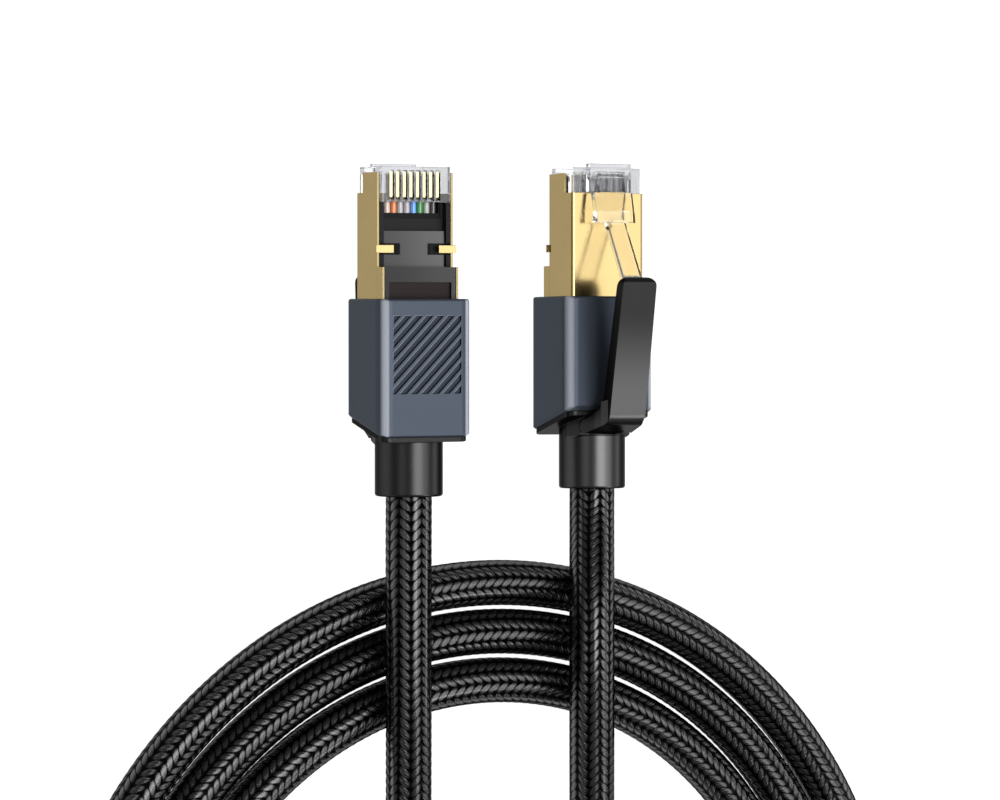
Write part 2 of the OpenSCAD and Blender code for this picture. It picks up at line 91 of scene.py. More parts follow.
class Signal:
    """A number that varies over a surface: one output socket, with arithmetic on it."""

    def __init__(self, finish: "MaterialTree", socket: bpy.types.NodeSocket) -> None:
        """Keep the socket and the material that its next nodes go in.

        Args:
            finish: The material being built.
            socket: The output that carries the number.
        """
        self.finish = finish
        self.socket = socket

    def _math(self, operation: str, *operands: "Signal | float") -> "Signal":
        """Add one Math node.

        Args:
            operation: The Math node's operation.
            operands: Its inputs, in order.

        Returns:
            The node's output.
        """
        node = self.finish.node("ShaderNodeMath", {"operation": operation}, dict(enumerate(operands)))
        return Signal(self.finish, node.outputs[0])

    def __add__(self, other: "Signal | float") -> "Signal":
        """Return self + other."""
        return self._math("ADD", self, other)

    __radd__ = __add__

    def __sub__(self, other: "Signal | float") -> "Signal":
        """Return self - other."""
        return self._math("SUBTRACT", self, other)

    def __rsub__(self, other: "Signal | float") -> "Signal":
        """Return other - self."""
        return self._math("SUBTRACT", other, self)

    def __mul__(self, other: "Signal | float") -> "Signal":
        """Return self * other."""
        return self._math("MULTIPLY", self, other)

    __rmul__ = __mul__

    def __pow__(self, other: "Signal | float") -> "Signal":
        """Return self ** other."""
        return self._math("POWER", self, other)

    def fract(self) -> "Signal":
        """Return the part after the decimal point."""
        return self._math("FRACT", self)

    def cosine(self) -> "Signal":
        """Return the cosine, of radians."""
        return self._math("COSINE", self)

    def absolute(self) -> "Signal":
        """Return the distance from zero."""
        return self._math("ABSOLUTE", self)

    def above(self, other: "Signal | float") -> "Signal":
        """Return 1 where this is greater than other, and 0 elsewhere."""
        return self._math("GREATER_THAN", self, other)

    def below(self, other: "Signal | float") -> "Signal":
        """Return 1 where this is less than other, and 0 elsewhere."""
        return self._math("LESS_THAN", self, other)

    def between(self, low: float, high: float) -> "Signal":
        """Return 1 where this lies between two numbers, and 0 elsewhere."""
        return self.above(low) * self.below(high)

    def larger(self, other: "Signal | float") -> "Signal":
        """Return the larger of the two."""
        return self._math("MAXIMUM", self, other)

    def ramp(self, first: float, last: float, start: float = 0.0, end: float = 1.0) -> "Signal":
        """Ease from one value to another while this goes from first to last.

        Args:
            first: Where the easing starts.
            last: Where it ends, which may be lower than where it starts.
            start: The value before the easing.
            end: The value after it.

        Returns:
            The eased number.
        """
        node = self.finish.node(
            "ShaderNodeMapRange",
            {"interpolation_type": "SMOOTHSTEP"},
            {"Value": self, "From Min": first, "From Max": last, "To Min": start, "To Max": end},
        )
        return Signal(self.finish, node.outputs[0])


Input = Signal | bpy.types.NodeSocket | float | tuple


class MaterialTree:
    """One node material around a Principled shader."""

    NOISE_ROUGHNESS: ClassVar[float] = 0.6
    EDGE_SAMPLES: ClassVar[int] = 6

    def __init__(self, name: str) -> None:
        """Make the material with its shader and output.

        Args:
            name: The material's name.
        """
        self.material = bpy.data.materials.new(name)
        self.material.use_nodes = True
        self.tree = self.material.node_tree
        self.tree.nodes.clear()
        self.shader = self.node("ShaderNodeBsdfPrincipled", {}, {})
        self.node("ShaderNodeOutputMaterial", {}, {"Surface": self.shader.outputs[0]})

    def node(self, kind: str, settings: dict, inputs: dict) -> bpy.types.Node:
        """Add a node: its settings first, then the values or links of its sockets.

        Args:
            kind: The node's type.
            settings: Its properties by name.
            inputs: Values, sockets or signals by socket name or number.

        Returns:
            The node.
        """
        made = self.tree.nodes.new(kind)
        for key, value in settings.items():
            setattr(made, key, value)
        for key, value in inputs.items():
            self.feed(made.inputs[key], value)
        return made

    def feed(self, socket: bpy.types.NodeSocket, value: Input) -> None:
        """Link a signal or an output to a socket, or set the socket to a constant.

        Args:
            socket: The input socket.
            value: What it gets.
        """
        if isinstance(value, Signal):
            value = value.socket
        if isinstance(value, bpy.types.NodeSocket):
            self.tree.links.new(value, socket)
        else:
            socket.default_value = value

    def place(self) -> bpy.types.NodeSocket:
        """Return the surface point in the row frame, in metres."""
        return self.node("ShaderNodeTexCoord", {}, {}).outputs["Object"]

    def local(self, place: PlugPlace) -> list[Signal]:
        """Return the surface point in a plug's own frame, in millimetres.

        Args:
            place: Where the plug lies.

        Returns:
            Its x, y and z.
        """
        exit_point = tuple(c * MM for c in place.exit_point)
        turn = tuple(math.radians(c) for c in place.turn)
        moved = self.node(
            "ShaderNodeVectorMath", {"operation": "SUBTRACT"}, {0: self.place(), 1: exit_point}
        )
        turned = self.node(
            "ShaderNodeVectorRotate",
            {"rotation_type": "EULER_XYZ", "invert": True},
            {"Vector": moved.outputs[0], "Rotation": turn},
        )
        scaled = self.node(
            "ShaderNodeVectorMath", {"operation": "SCALE"}, {0: turned.outputs[0], "Scale": 1 / MM}
        )
        return self.axes(scaled.outputs[0])

    def axes(self, vector: bpy.types.NodeSocket) -> list[Signal]:
        """Return a vector's three numbers."""
        return [Signal(self, c) for c in self.node("ShaderNodeSeparateXYZ", {}, {0: vector}).outputs]

    def slant(self) -> Signal:
        """Return how far the surface turns from the eye: 0 face on and 1 edge on."""
        return Signal(self, self.node("ShaderNodeLayerWeight", {}, {"Blend": 0.5}).outputs["Facing"])

    def noise(self, scale: float, detail: float, at: Input | None = None) -> Signal:
        """Return fractal noise between 0 and 1.

        Args:
            scale: Cells per metre.
            detail: Octaves.
            at: The point to read it at, by default the surface point.

        Returns:
            The noise.
        """
        inputs = {
            "Vector": at or self.place(),
            "Scale": scale,
            "Detail": detail,
            "Roughness": self.NOISE_ROUGHNESS,
        }
        return Signal(self, self.node("ShaderNodeTexNoise", {}, inputs).outputs["Fac"])

    def grain(self, cells: tuple[float, float, float]) -> Signal:
        """Return noise that is drawn out along the plugs.

        Args:
            cells: Its cells per metre along each axis.

        Returns:
            The noise.
        """
        settings = {"operation": "MULTIPLY"}
        drawn = self.node("ShaderNodeVectorMath", settings, {0: self.place(), 1: cells})
        return self.noise(1.0, detail=2.0, at=drawn.outputs[0])

    def blend(
        self, amount: Input, first: Input, second: Input, how: Blend = Blend.MIX
    ) -> bpy.types.NodeSocket:
        """Mix two colours.

        Args:
            amount: Share of the second colour.
            first: The first colour.
            second: The second colour.
            how: How they are mixed.

        Returns:
            The mixed colour's socket.
        """
        settings = {"data_type": "RGBA", "blend_type": how.value}
        # The node has one set of sockets for each type of data: inputs 6 and 7 and output 2 are colours.
        return self.node("ShaderNodeMix", settings, {0: amount, 6: first, 7: second}).outputs[2]

    def bump(
        self, height: Input, distance: float, strength: float = 1.0, edge: float = 0.0
    ) -> bpy.types.NodeSocket:
        """Return a normal that follows a height, over edges that are softened first.

        Args:
            height: The height, from 0 to 1.
            distance: The depth of a full step, in metres.
            strength: Share of the effect.
            edge: Radius of the softened edges, in metres.

        Returns:
            The normal's socket.
        """
        inputs = {"Height": height, "Distance": distance, "Strength": strength}
        if edge:
            settings = {"samples": self.EDGE_SAMPLES}
            inputs["Normal"] = self.node("ShaderNodeBevel", settings, {"Radius": edge}).outputs[0]
        return self.node("ShaderNodeBump", {}, inputs).outputs[0]

    def dress(self, **values: Input) -> bpy.types.Material:
        """Set the shader's sockets and return the material.

        Args:
            values: Values or links by socket name, with _ for a space.

        Returns:
            The finished material.
        """
        for key, value in values.items():
            self.feed(self.shader.inputs[key.replace("_", " ")], value)
        return self.material


def opaque(colour: Colour) -> tuple[float, float, float, float]:
    """Return the colour with full alpha."""
    return (*colour, 1.0)


def times(factor: float, colour: Colour) -> Colour:
    """Return the colour made lighter or darker by a factor."""
    return tuple(factor * c for c in colour)


# ---- finishes ----

# Places and widths in a finish are in millimetres, in the plug's own frame: x across it, y towards its
# nose and z from its contact side to its latch side. The depths of the texture and the radii of the
# softened edges are in metres, and the scales of the noise in cells per metre.

BLACK = (0.0, 0.0, 0.0)


@dataclass(frozen=True)
class AnodisedShell:
    """Blasted and anodised aluminium, with a painted highlight along its long corners and along one edge of
    each stripe, and painted shade in its sunk stripes.
    """

    end: End
    highlight_top_share: float
    colour: Colour = (0.047, 0.056, 0.074)
    # Colour of the painted shade on the floors of the sunk stripes.
    sunk: Colour = (0.021, 0.025, 0.035)
    painted_highlight: Colour = (0.36, 0.385, 0.43)
    slant_tint: Colour = (0.5, 0.5, 0.5)
    clouded: float = 0.9
    cloud_scale: float = 140.0
    grain_scale: float = 9000.0
    grain_depth: float = 0.000006
    grain_strength: float = 0.5
    edge_radius: float = 0.0002
    roughness: float = 0.38
    roughness_grain: float = 0.08
    metallic: float = 0.5
    specular: float = 0.1
    width: float = 14.3
    depth: float = 11.7
    corner: float = 1.8
    # Where the painted highlight on the long corners eases in and out.
    highlight_span: tuple[float, float] = (0.52, 1.06)
    panel: tuple[float, float] = (10.4, 10.7)
    panel_middle: float = 19.7
    panel_margin: float = 0.1
    sunk_depths: tuple[float, float] = (0.05, 0.5)
    stripe_pitch: float = 1.17
    stripe_width: float = 0.68
    rim_width: float = 0.09
    # How much of the painted highlight lies along one edge of each stripe.
    rim_highlight: float = 0.25

    def build(self) -> bpy.types.Material:
        """Make the material.

        Returns:
            The finished material.
        """
        tree = MaterialTree(f"anodised_shell_{self.end}")
        x, y, z = tree.local(PLACES[self.end])
        grain = tree.noise(self.grain_scale, detail=2.0)
        cloud = tree.noise(self.cloud_scale, detail=3.0)
        colour = tree.blend(cloud, opaque(times(self.clouded, self.colour)), opaque(self.colour))
        face = -self.depth / 2
        along = y - self.panel_middle
        # A stripe moved aside by the rim's width, where it still lies on the face, is one edge's rim,
        # painted lighter as a highlight along that edge.
        rim = self.in_stripe(x - self.rim_width, along - self.rim_width) * z.below(face + 0.01)
        colour = tree.blend(rim * self.rim_highlight, colour, opaque(self.painted_highlight))
        # The floors of the sunk stripes are painted darker: painted shade.
        floor = z.between(*(face + depth for depth in self.sunk_depths))
        in_stripes = self.in_panel(x, along, self.panel_margin) * floor
        colour = tree.blend(in_stripes, colour, opaque(self.sunk))
        # The long corners are painted lighter: a painted highlight.
        colour = tree.blend(self.highlight_on_corner(x, z), colour, opaque(self.painted_highlight))
        return tree.dress(
            Base_Color=colour,
            Metallic=self.metallic,
            Roughness=grain * self.roughness_grain + self.roughness,
            Specular_IOR_Level=self.specular,
            Specular_Tint=opaque(self.slant_tint),
            Normal=tree.bump(grain, self.grain_depth, self.grain_strength, self.edge_radius),
        )

    def in_panel(self, x: Signal, along: Signal, margin: float) -> Signal:
        """Return 1 inside the striped panel, grown by a margin, and 0 elsewhere."""
        half_x, half_y = (c / 2 + margin for c in self.panel)
        return x.between(-half_x, half_x) * along.between(-half_y, half_y)

    def in_stripe(self, x: Signal, along: Signal) -> Signal:
        """Return 1 inside a stripe and 0 elsewhere.

        Args:
            x: Place across the plug.
            along: Place along the plug, from the panel's middle.

        Returns:
            The mask.
        """
        turns = ((x + along) * (math.sqrt(0.5) / self.stripe_pitch) + 0.5).fract() - 0.5
        half = self.stripe_width / 2 / self.stripe_pitch
        return turns.between(-half, half) * self.in_panel(x, along, 0.0)

    def highlight_on_corner(self, x: Signal, z: Signal) -> Signal:
        """Return 1 along a long rounded corner, where the highlight is painted, easing to 0 at the flat
        faces.

        Args:
            x: Place across the plug.
            z: Height above the plug's middle.

        Returns:
            The mask, nearer to the top and bottom faces where highlight_top_share is more than 1.
        """
        out_x = (x.absolute() - (self.width / 2 - self.corner)).larger(0.0) * (1 / self.corner)
        out_z = (z.absolute() - (self.depth / 2 - self.corner)).larger(0.0) * (1 / self.corner)
        share = self.highlight_top_share
        # The product's greatest value on the round corner, where its two parts' squares add up to 1.
        peak = (1 / (1 + share)) ** 0.5 * (share / (1 + share)) ** (share / 2)
        return (out_x * out_z**share * (1 / peak)).ramp(*self.highlight_span)


@dataclass(frozen=True)
class MouldedBlack:
    """Injection-moulded plastic with a spark-eroded texture, polished on its sleeve and its lever."""

    end: End
    sleeve_polish: float
    lever_polish: float = 0.95
    sleeve_front: float = 7.5
    lever_above: float = 7.0
    lever_shine: tuple[float, float] = (25.5, 12.5)
    colour: Colour = (0.003, 0.003, 0.0031)
    slant_tint: Colour = (0.4, 0.4, 0.4)
    clouded: float = 1.35
    cloud_scale: float = 220.0
    grain_scale: float = 7000.0
    grain_depth: float = 0.000008
    grain_strength: float = 0.5
    edge_radius: float = 0.0002
    roughness: float = 0.26
    roughness_grain: float = 0.1
    specular: float = 0.42
    coat_roughness: float = 0.3
    dark_slants: tuple[float, float] = (0.2, 0.6)
    dark_metal: float = 0.85
    coat_slants: tuple[float, float] = (0.5, 0.12)

    def build(self) -> bpy.types.Material:
        """Make the material, which turns to black metal where it is seen at a slant.

        There it mirrors the bright table less than plastic would.

        Returns:
            The finished material.
        """
        tree = MaterialTree(f"moulded_black_{self.end}")
        _, y, z = tree.local(PLACES[self.end])
        grain = tree.noise(self.grain_scale, detail=3.0)
        cloud = tree.noise(self.cloud_scale, detail=2.0)
        on_lever = z.above(self.lever_above) * y.ramp(*self.lever_shine, 0.0, self.lever_polish)
        on_sleeve = y.below(self.sleeve_front) * z.below(self.lever_above) * self.sleeve_polish
        slant = tree.slant()
        return tree.dress(
            Base_Color=tree.blend(cloud, opaque(self.colour), opaque(times(self.clouded, self.colour))),
            Metallic=slant.ramp(*self.dark_slants, 0.0, self.dark_metal),
            Roughness=grain * self.roughness_grain + self.roughness,
            Specular_IOR_Level=self.specular,
            Specular_Tint=opaque(self.slant_tint),
            Coat_Weight=(on_lever + on_sleeve) * slant.ramp(*self.coat_slants),
            Coat_Roughness=self.coat_roughness,
            Normal=tree.bump(grain, self.grain_depth, self.grain_strength, self.edge_radius),
        )


@dataclass(frozen=True)
class MouldedInsert:
    """Dark moulding between the shield's walls: polished on its plate, dull and brown where it is sunk."""

    end: End
    colour: Colour = (0.012, 0.012, 0.0125)
    sunk: Colour = (0.02, 0.0145, 0.0135)
    grain_scale: float = 6000.0
    grain_depth: float = 0.000006
    grain_strength: float = 0.4
    roughness: float = 0.5
    roughness_grain: float = 0.1
    specular: float = 0.08
    coat_roughness: float = 0.22
    plate: float = -1.6
    rear: float = -3.65
    tolerance: float = 0.05
    half_width: float = 4.7
    polish: tuple[float, float] = (0.5, 0.95)
    rear_polish: float = 0.45
    sunk_depths: tuple[float, float] = (0.3, 0.7)
    sunk_span: tuple[float, float] = (20.0, 31.0)

    def build(self) -> bpy.types.Material:
        """Make the material.

        Returns:
            The finished material.
        """
        tree = MaterialTree(f"moulded_insert_{self.end}")
        x, y, z = tree.local(PLACES[self.end])
        grain = tree.noise(self.grain_scale, detail=2.0)
        polish = x.ramp(self.half_width, -self.half_width, *self.polish)
        on_plate = z.between(self.plate - self.tolerance, self.plate + self.tolerance)
        on_rear = z.below(self.rear + self.tolerance) * self.rear_polish
        in_sunk = z.between(*(self.rear + depth for depth in self.sunk_depths)) * y.between(*self.sunk_span)
        return tree.dress(
            Base_Color=tree.blend(in_sunk, opaque(self.colour), opaque(self.sunk)),
            Roughness=grain * self.roughness_grain + self.roughness,
            Specular_IOR_Level=self.specular,
            Coat_Weight=(on_plate + on_rear) * polish,
            Coat_Roughness=self.coat_roughness,
            Normal=tree.bump(grain, self.grain_depth, self.grain_strength),
        )


@dataclass(frozen=True)
class PlatedSheet:
    """Bright plated spring metal, with faint rolling marks along it and patches of tarnish."""

    name: str
    colour: Colour
    roughness: float
    slant_tint: Colour = (0.65, 0.63, 0.6)
    marks: tuple[float, float, float] = (9000.0, 260.0, 9000.0)
    mark_depth: float = 0.0000012
    mark_strength: float = 0.3
    edge_radius: float = 0.00008
    roughness_marks: float = 0.05
    cloud_scale: float = 180.0
    tarnish: float = 0.12

    def build(self) -> bpy.types.Material:
        """Make the material.

        Returns:
            The finished material.
        """
        tree = MaterialTree(self.name)
        marks = tree.grain(self.marks)
        cloud = tree.noise(self.cloud_scale, detail=2.0)
        return tree.dress(
            Base_Color=tree.blend(cloud * self.tarnish, self.tint(tree), opaque(BLACK)),
            Metallic=1.0,
            Roughness=marks * self.roughness_marks + self.roughness,
            Specular_Tint=opaque(self.slant_tint),
            Normal=tree.bump(marks, self.mark_depth, self.mark_strength, self.edge_radius),
        )

    def tint(self, tree: MaterialTree) -> Input:
        """Return the colour of the plating, the same all over."""
        return opaque(self.colour)


@dataclass(frozen=True, kw_only=True)
class ShieldSheet(PlatedSheet):
    """The shield's plated sheet, duller on the cut edges that face the contact side."""

    end: End
    cut: Colour = (0.22, 0.175, 0.09)
    cut_heights: tuple[float, float] = (-2.0, -3.7)
    tolerance: float = 0.03

    def tint(self, tree: MaterialTree) -> Input:
        """Return the colour of the plating, with its cut edges.

        Args:
            tree: The material.

        Returns:
            The colour's socket.
        """
        z = tree.local(PLACES[self.end])[2]
        front, rear = (z.between(h - self.tolerance, h + self.tolerance) for h in self.cut_heights)
        return tree.blend(front.larger(rear), opaque(self.colour), opaque(self.cut))


@dataclass(frozen=True)
class ClearMoulding:
    """Clear polycarbonate with faint flow marks, and painted shade where it is seen edge on."""

    name: str
    tint: Colour
    # The colour of the painted shade where the surface is seen edge on.
    edge: Colour
    edge_start: float
    edge_end: float = 0.96
    flow_scale: float = 900.0
    flow_depth: float = 0.00001
    flow_strength: float = 0.15
    edge_radius: float = 0.00012
    roughness: float = 0.01
    roughness_flow: float = 0.03
    refraction: float = 1.56

    def build(self) -> bpy.types.Material:
        """Make the material.

        Returns:
            The finished material.
        """
        tree = MaterialTree(self.name)
        flow = tree.noise(self.flow_scale, detail=1.0)
        # Painted shade: the tint darkens towards the edge colour where the surface is seen edge on.
        edge_shade = tree.slant().ramp(self.edge_start, self.edge_end)
        return tree.dress(
            Base_Color=tree.blend(edge_shade, opaque(self.tint), opaque(self.edge)),
            Roughness=flow * self.roughness_flow + self.roughness,
            Normal=tree.bump(flow, self.flow_depth, self.flow_strength, self.edge_radius),
            IOR=self.refraction,
            Transmission_Weight=1.0,
        )


@dataclass(frozen=True)
class Insulation:
    """Smooth wire insulation, with drawn lines along it."""

    name: str
    colour: Colour
    lines: tuple[float, float, float] = (5000.0, 300.0, 5000.0)
    line_shade: float = 0.5
    roughness: float = 0.25
    roughness_lines: float = 0.1
    gloss: float = 0.3

    def build(self) -> bpy.types.Material:
        """Make the material.

        Returns:
            The finished material.
        """
        tree = MaterialTree(self.name)
        lines = tree.grain(self.lines)
        shaded = tree.blend(lines * self.line_shade, self.tint(tree), opaque(BLACK), Blend.MULTIPLY)
        roughness = lines * self.roughness_lines + self.roughness
        return tree.dress(Base_Color=shaded, Roughness=roughness, Coat_Weight=self.gloss)

    def tint(self, tree: MaterialTree) -> Input:
        """Return the colour of the insulation, the same all over."""
        return opaque(self.colour)


@dataclass(frozen=True, kw_only=True)
class TintedInsulation(Insulation):
    """Pale insulation, each wire tinted by the colour of its partner.

    The base colour is that of the wire at the first edge. Each next wire has its tint, and the place
    across the plug from which that tint holds.
    """

    end: End
    next_wires: tuple[tuple[float, Colour], ...] = (
        (-2.0, (0.5, 0.5, 0.5)),
        (0.0, (0.52, 0.44, 0.45)),
        (1.0, (0.42, 0.42, 0.44)),
        (2.5, (0.72, 0.58, 0.52)),
    )

    def tint(self, tree: MaterialTree) -> Input:
        """Return the tint of the wire at each place across the plug.

        Args:
            tree: The material.

        Returns:
            The colour's socket.
        """
        x = tree.local(PLACES[self.end])[0] * (1.0 if self.end is End.A else -1.0)
        colour = opaque(self.colour)
        for limit, tint in self.next_wires:
            colour = tree.blend(x.above(limit), colour, opaque(tint))
        return colour


@dataclass(frozen=True)
class NylonBraid:
    """Black nylon braid: bulging floats of a few yarns each, with painted shade in the gaps where the
    strands dive and between the yarns.
    """

    name: str = "nylon_braid"
    # Colour of the painted shade in the gaps where the strands dive.
    gap_shade: Colour = BLACK
    crown: Colour = (0.007, 0.007, 0.0074)
    slant_tint: Colour = (0.4, 0.4, 0.4)
    crown_heights: tuple[float, float] = (0.54, 0.92)
    gap_heights: tuple[float, float] = (0.82, 0.54)
    gap_metal: float = 0.85
    dark_slants: tuple[float, float] = (0.35, 0.8)
    yarns: float = 3.5
    fuzz_scale: float = 5200.0
    fine_relief: float = 0.1
    relief: float = 0.0003
    roughness: float = 0.2
    roughness_fuzz: float = 0.16
    specular: float = 0.75
    sheen: float = 0.75
    sheen_roughness: float = 0.2

    def build(self) -> bpy.types.Material:
        """Make the material. It reads the columns and rows of stitches from the mesh's own map.

        Returns:
            The finished material.
        """
        tree = MaterialTree(self.name)
        weave = tree.node("ShaderNodeUVMap", {"uv_map": WEAVE_MAP}, {}).outputs[0]
        column, row, _ = tree.axes(weave)
        over = ((column - 0.5) * math.pi).cosine()
        right = (row - column + 0.5).fract() - 0.5
        left = (row + column + 0.5).fract() - 0.5
        top_right = self.dome(right) + over
        top_left = self.dome(left) - over
        shows_right = top_right.above(top_left)
        across = right * shows_right + left * (1.0 - shows_right)
        height = top_right.larger(top_left) * 0.5
        crown = height.ramp(*self.crown_heights)
        yarn = (across * (2.0 * math.pi * self.yarns)).cosine() * 0.5 + 0.5
        fuzz = tree.noise(self.fuzz_scale, detail=3.0)
        # Painted shade: the colour goes from the crown's colour on the strands' tops to black in the gaps,
        # and dips between the yarns.
        shade = crown * (yarn * 0.5 + 0.5) * (fuzz * 0.8 + 0.6)
        # Black metal, which reflects nothing, in the gaps and where the braid is seen at a slant: painted
        # shade.
        painted_gap_shade = height.ramp(*self.gap_heights, 0.0, self.gap_metal)
        dull = painted_gap_shade.larger(tree.slant().ramp(*self.dark_slants))
        raised = height + yarn * crown * self.fine_relief + fuzz * self.fine_relief
        return tree.dress(
            Base_Color=tree.blend(shade, opaque(self.gap_shade), opaque(self.crown)),
            Metallic=dull,
            Roughness=fuzz * self.roughness_fuzz + self.roughness,
            Specular_IOR_Level=self.specular,
            Specular_Tint=opaque(self.slant_tint),
            Coat_Weight=crown * (1.0 - dull) * self.sheen,
            Coat_Roughness=self.sheen_roughness,
            Normal=tree.bump(raised, self.relief),
        )

    @staticmethod
    def dome(across: Signal) -> Signal:
        """Return the round section of a strand, 1 at its middle and 0 at its edges."""
        return (1.0 - (across * 2.0) ** 2.0).larger(0.0) ** 0.5


# ---- mesh tools ----


def grid_faces(rows: int, columns: int) -> np.ndarray:
    """Return the quads of a closed-round grid of rings.

    Args:
        rows: Number of rings.
        columns: Points in each ring.

    Returns:
        An array of four corner numbers per quad.
    """
    first = np.arange(rows - 1)[:, None] * columns
    column = np.arange(columns)[None, :]
    start = (first + column).ravel()
    turned = (first + (column + 1) % columns).ravel()
    return np.stack([start, turned, turned + columns, start + columns], axis=1)


def mesh_object(
    name: str, points: np.ndarray, faces: list[list[int]], material: bpy.types.Material
) -> bpy.types.Object:
    """Make a smooth-shaded mesh object in the scene.

    Args:
        name: The object's name.
        points: Its vertices.
        faces: Corner numbers of each face.
        material: Its material.

    Returns:
        The object.
    """
    mesh = bpy.data.meshes.new(name)
    mesh.from_pydata(points.tolist(), [], faces)
    mesh.polygons.foreach_set("use_smooth", [True] * len(mesh.polygons))
    mesh.materials.append(material)
    mesh.update()
    made = bpy.data.objects.new(name, mesh)
    bpy.context.scene.collection.objects.link(made)
    return made


# ---- the cord ----


@dataclass
class CordRoute:
    """The line that the cord follows, from boot a over the coil's turns to boot b, in millimetres."""

    turn_radius: float = 52.1
    turn_pitch: float = 6.95
    centre: tuple[float, float] = (1.8, -102.3)
    drawn_in: float = 27.0
    steps_per_turn: int = 24
    coil_rings: int = 72
    rest: float = 3.25
    inside: float = 5.0
    steps_per_span: int = 24
    run_a: tuple = (
        (-16.07, -23.22, 11.587), (-16.11, -30, 11.6), (-16.06, -38, 11.5), (-15.57, -53, 10.5),
        (-15.08, -59, 9.5), (-14.42, -65, 8.15), (-13.56, -72, 6.4), (-12.72, -80, 4.7),
        (-12.15, -89, 3.5), (-12.2, -99, 3.25), (-11, -106.7, 3.25), (-7.45, -113.65, 3.25),
        (-1.95, -119.15, 3.25), (5, -122.7, 3.25), (14, -123.93, 3.25),
    )  # fmt: skip
    run_b: tuple = (
        (15.83, -22.97, 6.33), (15.62, -26.6, 6.69), (15.12, -30.1, 7.61), (14.37, -33.4, 8.98),
        (13.67, -36.6, 10.26), (13.2, -40.2, 11.13), (13.05, -44.2, 11.41), (13.14, -49, 11.25),
        (13.63, -54.5, 10.35), (14.51, -61, 8.75), (15.58, -68, 6.8), (16.66, -76, 4.85),
        (17.29, -84.5, 3.7), (17.2, -91.5, 3.5), (17.1, -99, 4.4), (17, -107.4, 6.7),
        (16.3, -117.5, 9.5), (14.4, -127, 10.5), (10.1, -135, 10.5), (3.1, -141, 10),
        (-5.6, -144.4, 8.6), (-15, -145.5, 6.6), (-25.2, -145, 4.7), (-36.2, -143.1, 3.6),
        (-46.1, -138.6, 3.3),
    )  # fmt: skip

    def coil_point(self, ring: int) -> tuple[float, float, float]:
        """Return a point of the coil, whose near side is two corners and a straight.

        Args:
            ring: Its number. A turn has one more than its steps, as the straight has one at each end.

        Returns:
            The point.
        """
        turn, step = divmod(ring, self.steps_per_turn + 1)
        share = step / self.steps_per_turn
        radius = self.turn_radius + self.turn_pitch * (turn + share - 0.5)
        aside = 1 if share <= 0.25 else -1 if share >= 0.75 else 0
        bend = radius - abs(aside) * self.drawn_in
        turned = math.tau * share
        return (
            self.centre[0] + aside * self.drawn_in + bend * math.sin(turned),
            self.centre[1] - bend * math.cos(turned),
            self.rest,
        )

    def stations(self) -> np.ndarray:
        """Return the route's points, from inside boot a to inside boot b.

        Returns:
            An array of points, in millimetres.
        """
        coil = map(self.coil_point, range(self.coil_rings))
        into_a = (self.run_a[0][0], self.run_a[0][1] + self.inside, self.run_a[0][2])
        out_b = np.subtract(self.run_b[0], self.run_b[1])
        into_b = tuple(np.array(self.run_b[0]) + out_b / np.linalg.norm(out_b) * self.inside)
        return np.array([into_a, *self.run_a, *coil, *reversed(self.run_b), into_b])

    def line(self, step: float) -> np.ndarray:
        """Return an even, smooth line through the stations, in metres.

        It is a centripetal Catmull-Rom curve: each span is worked out from the two points at either side.

        Args:
            step: Distance between its points, in metres.

        Returns:
            Its points.
        """
        points = self.stations() * MM
        padded = np.vstack([2 * points[0] - points[1], points, 2 * points[-1] - points[-2]])
        dense = []
        for k in range(1, len(padded) - 2):
            near = padded[k - 1 : k + 3]
            t = self.travelled(near, 0.5)
            at = np.linspace(t[1], t[2], self.steps_per_span, endpoint=False)[:, None]
            once = [self.between(at, t[i], t[i + 1], near[i], near[i + 1]) for i in range(3)]
            twice = [self.between(at, t[i], t[i + 2], once[i], once[i + 1]) for i in range(2)]
            dense.append(self.between(at, t[1], t[2], *twice))
        dense = np.vstack([*dense, points[-1:]])
        along = self.travelled(dense)
        even = np.linspace(0, along[-1], int(round(along[-1] / step)) + 1)
        return np.stack([np.interp(even, along, dense[:, i]) for i in range(3)], axis=1)

    @staticmethod
    def travelled(points: np.ndarray, power: float = 1.0) -> np.ndarray:
        """Return how far along a line each of its points is.

        Args:
            points: The line's points.
            power: What each step's length is raised to first.

        Returns:
            The distances, from 0.
        """
        steps = np.linalg.norm(np.diff(points, axis=0), axis=1) ** power
        return np.concatenate([[0], np.cumsum(steps)])

    @staticmethod
    def between(at: np.ndarray, low: float, high: float, first: np.ndarray, last: np.ndarray) -> np.ndarray:
        """Return what lies between first and last as at lies between low and high."""
        return (high - at) / (high - low) * first + (at - low) / (high - low) * last


